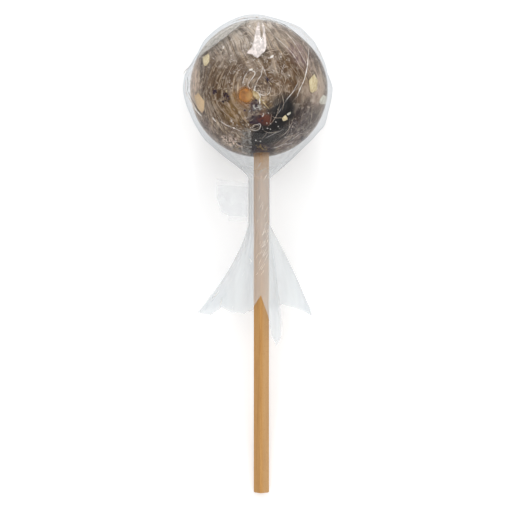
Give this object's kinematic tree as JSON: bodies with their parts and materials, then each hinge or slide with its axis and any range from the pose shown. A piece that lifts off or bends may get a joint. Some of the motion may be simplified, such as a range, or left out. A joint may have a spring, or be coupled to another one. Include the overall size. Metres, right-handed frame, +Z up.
{
  "type": "lollipop",
  "caption": "Ball lollipop of translucent grey-brown sugar on a square wooden stick, in clear film gathered and taped below the ball, lying on its side.",
  "frame": {"origin": "the point of the table under the middle of the ball, on the wrapper's flat spot", "axes": "+Y along the stick towards the ball, seen from above; +Z up, out of the side that shows; +X to the right when the ball is at the top"},
  "size_m": [0.0517, 0.1647, 0.0495],
  "materials": {
    "sugar": "clear grey-brown boiled sugar, glossy, with fruit and nut pieces sunk in it",
    "wood": "plain sanded wood, straight grain",
    "film": "clear thin film, creased",
    "tape": "clear, slightly milky adhesive tape"
  },
  "bodies": {
    "root": {"candy": "sugar", "stick": "wood", "wrapper": "film", "tape": "tape"}
  },
  "joints": []
}
